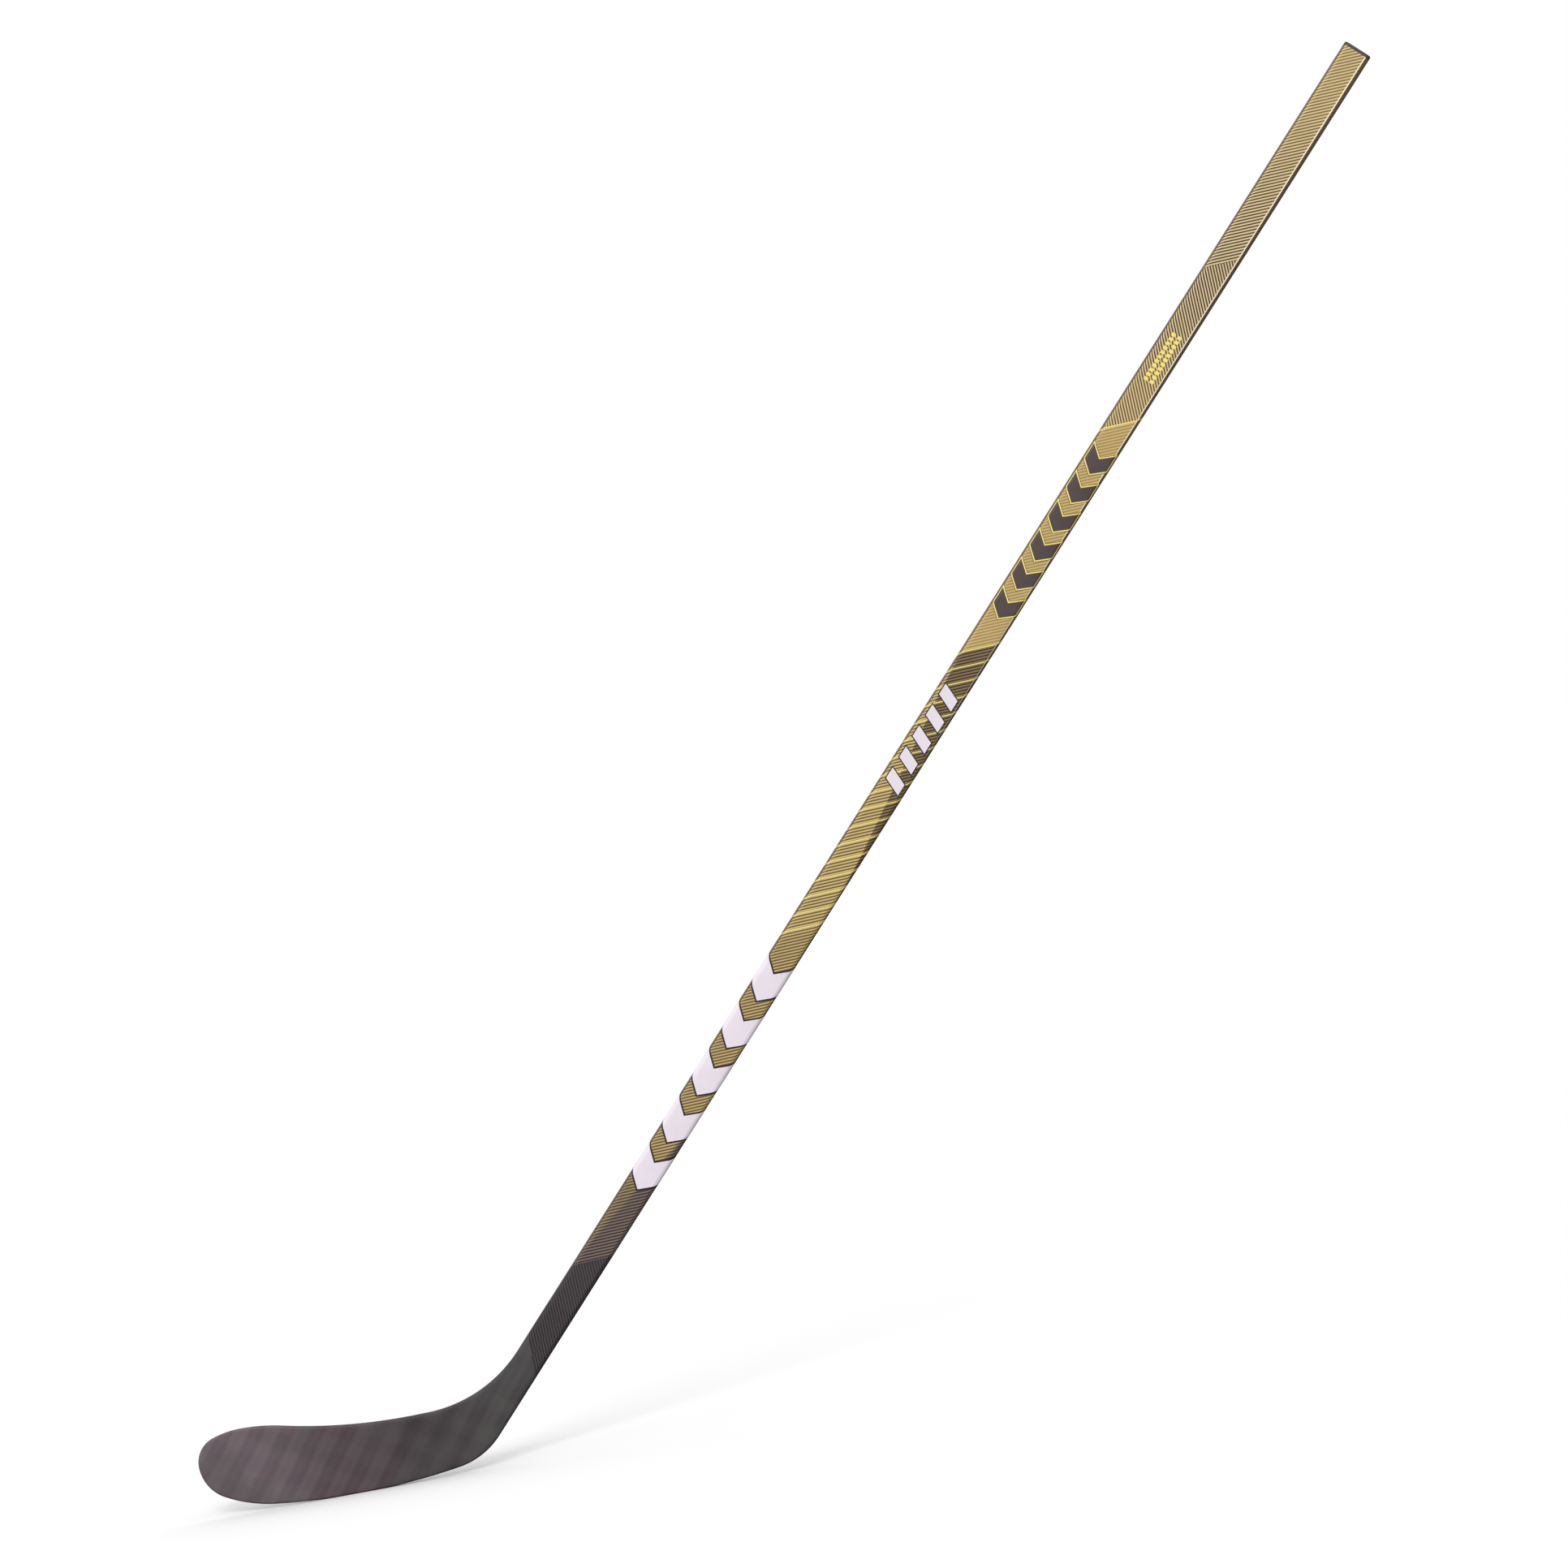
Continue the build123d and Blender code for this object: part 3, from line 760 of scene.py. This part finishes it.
def ply_material():
    """Lacquered outer ply: fine printed lines on gold, turning to dark brown towards the blade."""
    s = Shader("lined_lacquer", Specular_IOR_Level=0.25, Coat_Weight=0.2, Coat_Roughness=0.15)
    down, girth = s.shaft_places()
    rising = s.math("ADD", down, girth)
    falling = s.math("SUBTRACT", down, girth)
    fine_rising = s.lines(s.math("DIVIDE", rising, RISING_PITCH), RISING_SHARE, LINE_BLUR)
    fine_falling = s.falling_lines(falling)

    # the butt's zone: rising lines that grow darker on the way down
    depth = s.ramp(down, *BUTT_DARKENS)
    line = s.mix(depth, linear(122, 101, 56), linear(60, 42, 18))
    ground = s.mix(depth, linear(206, 183, 128), linear(214, 190, 142))
    colour = s.mix(fine_rising, ground, line)

    # falling lines, dark above and softer below
    depth = s.ramp(down, *FALLING_LINES_SOFTEN)
    line = s.mix(depth, linear(52, 36, 18), linear(96, 74, 40))
    ground = s.mix(depth, linear(208, 184, 138), linear(208, 183, 132))
    zone = s.mix(fine_falling, ground, line)
    colour = s.mix(s.past(rising, BUTT_ZONE_END, ZONE_BLUR), colour, zone)

    # plain gold with faint lines
    zone = s.mix(fine_rising, linear(194, 168, 109), linear(152, 127, 74))
    colour = s.mix(s.past(rising, BORDER_LINE_DOWN, ZONE_BLUR), colour, zone)

    # gold band over a dark wedge that runs out at the back edge
    gold = s.mix(fine_rising, linear(200, 176, 116), linear(96, 75, 38))
    dark = s.mix(fine_rising, linear(128, 106, 66), linear(38, 26, 16))
    border = s.border(down, *DARK_WEDGE)
    wedge = s.ramp(s.math("SUBTRACT", girth, border), -0.6, 0.9)
    zone = s.mix(wedge, gold, dark)
    colour = s.mix(s.past(rising, DARK_ZONE_START, ZONE_BLUR), colour, zone)

    # lower gold with olive-brown lines, fading to purple-brown along a long wedge
    gold = s.mix(fine_rising, linear(184, 161, 106), linear(92, 71, 36))
    dull = s.mix(fine_rising, linear(142, 124, 92), linear(64, 49, 33))
    gold = s.mix(s.ramp(down, *LOWER_GOLD_DULLS), gold, dull)
    brown = s.mix(fine_rising, linear(114, 98, 92), linear(44, 30, 24))
    border = s.border(down, *BROWN_WEDGE)
    wedge = s.ramp(s.math("SUBTRACT", girth, border), -2.5, 2.5)
    zone = s.mix(wedge, gold, brown)
    colour = s.mix(s.past(rising, LOWER_ZONE_START, LOWER_ZONE_BLUR), colour, zone)

    # charcoal with faint falling lines
    zone = s.charcoal(fine_falling)
    colour = s.mix(s.past(rising, CHARCOAL_START, ZONE_BLUR), colour, zone)

    # dark edges: painted shade on a long wedge by the back edge, with a painted highlight line just inside
    # it, and a fine dark line by the front one
    border = s.border(down, *PAINTED_SHADE_WEDGE)
    inside = s.math("SUBTRACT", girth, border)
    edge = s.math("MAXIMUM", s.ramp(inside, -0.15, 0.25), s.ramp(girth, -13.7, -14.2))
    edge = s.math("MULTIPLY", edge, s.ramp(rising, 1389.0, 1387.0))
    colour = s.mix(s.math("MULTIPLY", edge, 0.84), colour, linear(70, 57, 47))
    # painted highlight: a pale line where the corner catches the light, fading out down the shaft
    painted_highlight = s.math("MULTIPLY", s.ramp(inside, -1.5, -1.15), s.ramp(inside, -0.1, -0.3))
    painted_highlight = s.math("MULTIPLY", painted_highlight, s.ramp(down, *PAINTED_HIGHLIGHT_SHOWS))
    colour = s.mix(painted_highlight, colour, linear(242, 230, 202))

    # slight clouding, uneven gloss and a faint relief of the lines
    tone = s.math("MULTIPLY_ADD", s.noise(60, 3), 0.16, 0.92)
    hue = s.add("ShaderNodeHueSaturation")
    s.put(colour, hue.inputs["Color"])
    s.put(tone, hue.inputs["Value"])
    s.put(hue.outputs[0], s.bsdf.inputs["Base Color"])
    rough = s.math("MULTIPLY_ADD", s.noise(180, 4, 0.6), 0.12, 0.3)
    s.put(rough, s.bsdf.inputs["Roughness"])
    relief = s.math("MULTIPLY_ADD", s.noise(2500, 2), 0.35, s.math("MULTIPLY", fine_rising, 0.4))
    s.bump(relief, 0.00006, 0.5)
    return s.material


def blade_material():
    """Matte charcoal blade: broad soft tows, with painted shade darkest at the heel and painted light,
    lighter and warmer, at the toe; lined above the neck.
    """
    s = Shader("blade_carbon", Specular_IOR_Level=0.25)
    down, girth = s.shaft_places()
    x = s.dot(s.coords, (1000, 0, 0))
    drift = s.math("MULTIPLY_ADD", s.noise(14, 2), 2.4, -1.2)

    def bands(direction, pitch, soft):
        """Soft bands across a direction, with a pitch in millimetres."""
        phase = s.math("MULTIPLY", s.dot(s.coords, direction), 2000 * math.pi / pitch)
        return s.ramp(s.math("SINE", s.math("ADD", phase, drift)), -soft, soft)

    # three sets of tows, and how much each one shows
    main = bands((0.81, 0, -0.59), 27, 0.5)
    cross = bands((0.5, 0, 0.87), 30, 0.6)
    narrow = bands((0.78, 0, -0.63), 9, 1.2)
    tow = s.math("MULTIPLY", main, 0.58)
    tow = s.math("MULTIPLY_ADD", cross, 0.24, tow)
    tow = s.math("MULTIPLY_ADD", narrow, 0.18, tow)

    # painted shade and light: darkest at the heel, lighter towards the toe and up the neck, as light falls on
    # the curved face
    heel = s.mix(tow, linear(50, 43, 47), linear(65, 58, 60))
    middle = s.mix(tow, linear(68, 55, 60), linear(81, 70, 73))
    toe = s.mix(tow, linear(90, 78, 84), linear(103, 92, 96))
    neck = s.mix(tow, linear(57, 52, 55), linear(70, 66, 66))
    colour = s.mix(s.ramp(x, *HEEL_TO_MIDDLE), heel, middle)
    colour = s.mix(s.ramp(x, *MIDDLE_TO_TOE), colour, toe)
    colour = s.mix(s.ramp(x, *BLADE_TO_NECK), colour, neck)

    # a few cooler clouds
    grey_green = s.ramp(s.noise(22, 2), 0.46, 0.62)
    colour = s.mix(s.math("MULTIPLY", grey_green, 0.34), colour, linear(70, 70, 69))

    # the lined stretch above the neck ends on a falling line
    falling = s.math("SUBTRACT", down, girth)
    lined = s.charcoal(s.falling_lines(falling))
    colour = s.mix(s.past(falling, LINES_END, LINES_END_BLUR), lined, colour)

    s.put(colour, s.bsdf.inputs["Base Color"])
    rough = s.math("MULTIPLY_ADD", s.noise(90, 4, 0.6), 0.16, 0.42)
    s.put(s.math("MULTIPLY_ADD", tow, 0.06, rough), s.bsdf.inputs["Roughness"])
    relief = s.math("MULTIPLY_ADD", s.noise(900, 3), 0.6, s.math("MULTIPLY", tow, 0.5))
    s.bump(relief, 0.0001, 0.5)
    return s.material


def film_material(name, colour, shade, roughness=0.34):
    """Printed film: a smooth coat of one ink with slight clouding."""
    s = Shader(name, Specular_IOR_Level=0.3, Coat_Weight=0.2, Coat_Roughness=0.15)
    s.put(s.mix(s.noise(70, 3), shade, colour), s.bsdf.inputs["Base Color"])
    s.put(s.math("MULTIPLY_ADD", s.noise(200, 3), 0.1, roughness - 0.05), s.bsdf.inputs["Roughness"])
    s.bump(s.noise(2500, 2), 0.00003, 0.4)
    return s.material


def moulded_material(name, colour, shade, roughness, grain, depth):
    """Moulded or cured plastic with a fine grain."""
    s = Shader(name)
    s.put(s.mix(s.noise(grain * 0.2, 3), shade, colour), s.bsdf.inputs["Base Color"])
    s.put(s.math("MULTIPLY_ADD", s.noise(grain, 3), 0.14, roughness - 0.07), s.bsdf.inputs["Roughness"])
    s.bump(s.noise(grain, 3), depth, 0.6)
    return s.material


# ------------------------------------------------------------------ pieces
ply = ply_material()
LAMINATE = linear(46, 46, 48)
LAMINATE_SHADE = linear(38, 38, 40)
laminate = moulded_material("tube_laminate", LAMINATE, LAMINATE_SHADE, 0.45, 300, 0.00005)
section = (PLY_END - FLANGE) / SECTIONS
for number in range(SECTIONS):
    first = FLANGE + number * section
    last = first + section
    skin = tube_section(f"shaft_outer_ply_{number + 1}", first, last, 0, OUTER_PLY)
    finish_piece(skin, ply, "lined_ply", "shaft_outer_ply")
    tube = tube_section(f"shaft_tube_{number + 1}", first, last, OUTER_PLY, OUTER_PLY + WALL)
    finish_piece(tube, laminate, "laminate", "shaft_tube")

finish_piece(
    blade_shell(),
    blade_material(),
    "blade_skin",
    "blade_front_skin",
    "blade_back_skin",
    "edge_binding",
    "hosel_tenon",
    "seam_filler",
)

REACH = (HALF_WIDTH + HALF_DEPTH) / MM       # girth from a wide face's middle to a narrow one's
yellow = film_material("bright_ink", linear(240, 224, 118), linear(230, 210, 100))
white = film_material("pale_ink", linear(226, 217, 226), linear(218, 208, 219))
brown = film_material("dark_ink", linear(76, 60, 60), linear(60, 46, 48))
black = film_material("outline_ink", linear(30, 22, 22), linear(22, 16, 16))


def bright_lines():
    """The single line above the dark marks and the row of lines in the middle zone."""
    shapes = slanted_bar(BORDER_LINE_DOWN, BORDER_LINE_WIDTH, REACH)
    for i in range(FINE_LINE_COUNT):
        shapes += slanted_bar(FINE_LINE_START + FINE_LINE_PITCH * i, FINE_LINE_WIDTH, REACH)
    return shapes


def small_dashes():
    """Rows of upright dashes."""
    shapes = []
    for middle in DASH_ROWS:
        for i in range(DASH_COUNT):
            dash = slanted_bar(DASH_START + DASH_PITCH * i, DASH_WIDTH, DASH_HALF_HEIGHT, 0.0)[0]
            shapes.append([(down, girth + middle * MM) for down, girth in dash])
    return shapes


def dark_marks(grow):
    """Chevrons on the wide faces, grown by a border's width."""
    shapes = []
    for i in range(DARK_MARK_COUNT):
        down = DARK_MARK_START + DARK_MARK_PITCH * i
        shapes += chevron(down, DARK_MARK_WIDTH, DARK_MARK_POINT, DARK_MARK_HALF_HEIGHT, grow)
    return shapes


def pale_marks(grow):
    """Slanted bars on the wide faces, grown by a border's width."""
    shapes = []
    wide = grow * math.hypot(1, PALE_MARK_LEAN)
    for i in range(PALE_MARK_COUNT):
        down = PALE_MARK_START + PALE_MARK_PITCH * i - wide
        width = PALE_MARK_WIDTH + 2 * wide
        shapes += slanted_bar(down, width, PALE_MARK_HALF_HEIGHT + grow, PALE_MARK_LEAN)
    return shapes


def pale_blocks(grow):
    """Chevrons right round the shaft, whose long sides are grown by a border's width."""
    shapes = []
    for i in range(PALE_BLOCK_COUNT):
        down = PALE_BLOCK_START + PALE_BLOCK_PITCH * i
        shapes += chevron(
            down, PALE_BLOCK_WIDTH, PALE_BLOCK_POINT, PALE_BLOCK_HALF_HEIGHT, grow, REACH
        )
    return shapes


def outlined(name, shapes_at, ink, slot, node, *borders):
    """A group of marks with one or two borders, each a larger film; a later one lies higher."""
    for step, (suffix, border_ink, grow) in enumerate(borders):
        sheet = film(f"{name}_{suffix}", shapes_at(grow), BORDER_LIFT + BORDER_STEP * step)
        finish_piece(sheet, border_ink, slot, node)
    top = film(name, shapes_at(0.0), FILM)
    finish_piece(top, ink, slot, node)


lines = film("printed_bright_lines", bright_lines(), BRIGHT_LIFT)
finish_piece(lines, yellow, "bright_film", "film_bright_lines")
marks = film("printed_small_dashes", small_dashes(), DASH_LIFT)
finish_piece(marks, yellow, "bright_film", "film_small_dashes")

# each border: its name, its ink and how far it shows beyond the mark, in millimetres
outlined(
    "printed_dark_marks",
    dark_marks,
    brown,
    "dark_film",
    "film_dark_marks",
    ("edge", black, 1.7),
    ("outline", yellow, 1.2),
)
outlined(
    "printed_pale_marks",
    pale_marks,
    white,
    "pale_film",
    "film_pale_marks",
    ("outline", black, 1.1),
)
outlined(
    "printed_pale_blocks",
    pale_blocks,
    white,
    "pale_film",
    "film_pale_blocks",
    ("outline", black, 1.7),
)


# ------------------------------------------------------------------ CAD nodes that stay
def finish_nodes(material, *names):
    """Gives CAD nodes that are shown as they are a procedural material."""
    for name in names:
        mesh = frame["nodes"][name].data
        mesh.materials.clear()
        mesh.materials.append(material)


plastic = moulded_material("plug_plastic", linear(66, 52, 50), linear(44, 32, 31), 0.45, 900, 0.00006)
rib = moulded_material("rib_laminate", LAMINATE, LAMINATE_SHADE, 0.45, 500, 0.00005)
foam = moulded_material("core_foam", linear(228, 222, 200), linear(214, 206, 182), 0.85, 1400, 0.0003)
dense = moulded_material("dense_core", linear(206, 192, 150), linear(190, 175, 134), 0.8, 1200, 0.0002)
glue = moulded_material("glue_film", linear(204, 176, 120), linear(190, 160, 104), 0.25, 300, 0.00005)
finish_nodes(plastic, "butt_plug")
finish_nodes(rib, "core_rib")
finish_nodes(foam, "upper_core", "lower_core")
finish_nodes(dense, "toe_insert", "heel_core")
finish_nodes(glue, "plug_adhesive", "tenon_adhesive")

# ------------------------------------------------------------------ floor, light and camera
FLOOR_HALF = 40.0
FLOOR_WHITE = 0.81              # as bright as the background under the key light
ROOM_LOW, ROOM_HIGH = 0.12, 1.0                 # the room's brightness below and above
ROOM_FADE_FROM, ROOM_FADE_TO = -0.35, -0.02     # heights between which it changes
KEY_ENERGY = 1.6
KEY_SPREAD = 22                 # degrees
KEY_DIRECTION = Vector((0.05, 1.7, -1.0))
ROLL = math.radians(10.7)       # the camera's roll, as the stick leans on its toe
VIEW_WIDTH = 1.5205
VIEW_MIDDLE = (0.5345, 0.599)   # X and Z
DISTANCE = 5.0
SENSOR = 36.0

floor_mesh = bpy.data.meshes.new("floor")
floor_corners = [(FLOOR_HALF * x, FLOOR_HALF * y, 0) for x, y in ((-1, -1), (1, -1), (1, 1), (-1, 1))]
floor_mesh.from_pydata(floor_corners, [], [(0, 1, 2, 3)])
floor = bpy.data.objects.new("floor", floor_mesh)
bpy.context.scene.collection.objects.link(floor)
floor_paint = Shader("floor_paint", Roughness=0.9, Base_Color=(FLOOR_WHITE, FLOOR_WHITE, FLOOR_WHITE, 1.0))
floor_mesh.materials.append(floor_paint.material)
# it catches the shadow, but neither lights the stick nor shows in its gloss
floor.visible_diffuse = False
floor.visible_glossy = False

world = bpy.data.worlds.new("studio")
bpy.context.scene.world = world
world.use_nodes = True
sky = world.node_tree
sky.nodes.clear()
place = sky.nodes.new("ShaderNodeTexCoord")
split = sky.nodes.new("ShaderNodeSeparateXYZ")
level = sky.nodes.new("ShaderNodeMapRange")
shine = sky.nodes.new("ShaderNodeBackground")
out = sky.nodes.new("ShaderNodeOutputWorld")
sky.links.new(place.outputs["Generated"], split.inputs[0])
sky.links.new(split.outputs["Z"], level.inputs["Value"])
level.inputs["From Min"].default_value = ROOM_FADE_FROM
level.inputs["From Max"].default_value = ROOM_FADE_TO
level.inputs["To Min"].default_value = ROOM_LOW
level.inputs["To Max"].default_value = ROOM_HIGH
sky.links.new(level.outputs["Result"], shine.inputs["Color"])
sky.links.new(shine.outputs[0], out.inputs[0])

key_light = bpy.data.lights.new("key", "SUN")
key_light.energy = KEY_ENERGY
key_light.angle = math.radians(KEY_SPREAD)
key = bpy.data.objects.new("key", key_light)
bpy.context.scene.collection.objects.link(key)
key.rotation_mode = "QUATERNION"
key.rotation_quaternion = KEY_DIRECTION.to_track_quat("-Z", "Y")

bpy.context.scene.view_settings.view_transform = "Standard"

# the camera looks square at the wide faces
lens = bpy.data.cameras.new("camera")
lens.sensor_width = SENSOR
lens.lens = SENSOR * DISTANCE / VIEW_WIDTH
camera = bpy.data.objects.new("camera", lens)
bpy.context.scene.collection.objects.link(camera)
camera.location = (VIEW_MIDDLE[0], -DISTANCE, VIEW_MIDDLE[1])
camera.rotation_euler = (math.pi / 2, ROLL, 0)
bpy.context.scene.camera = camera
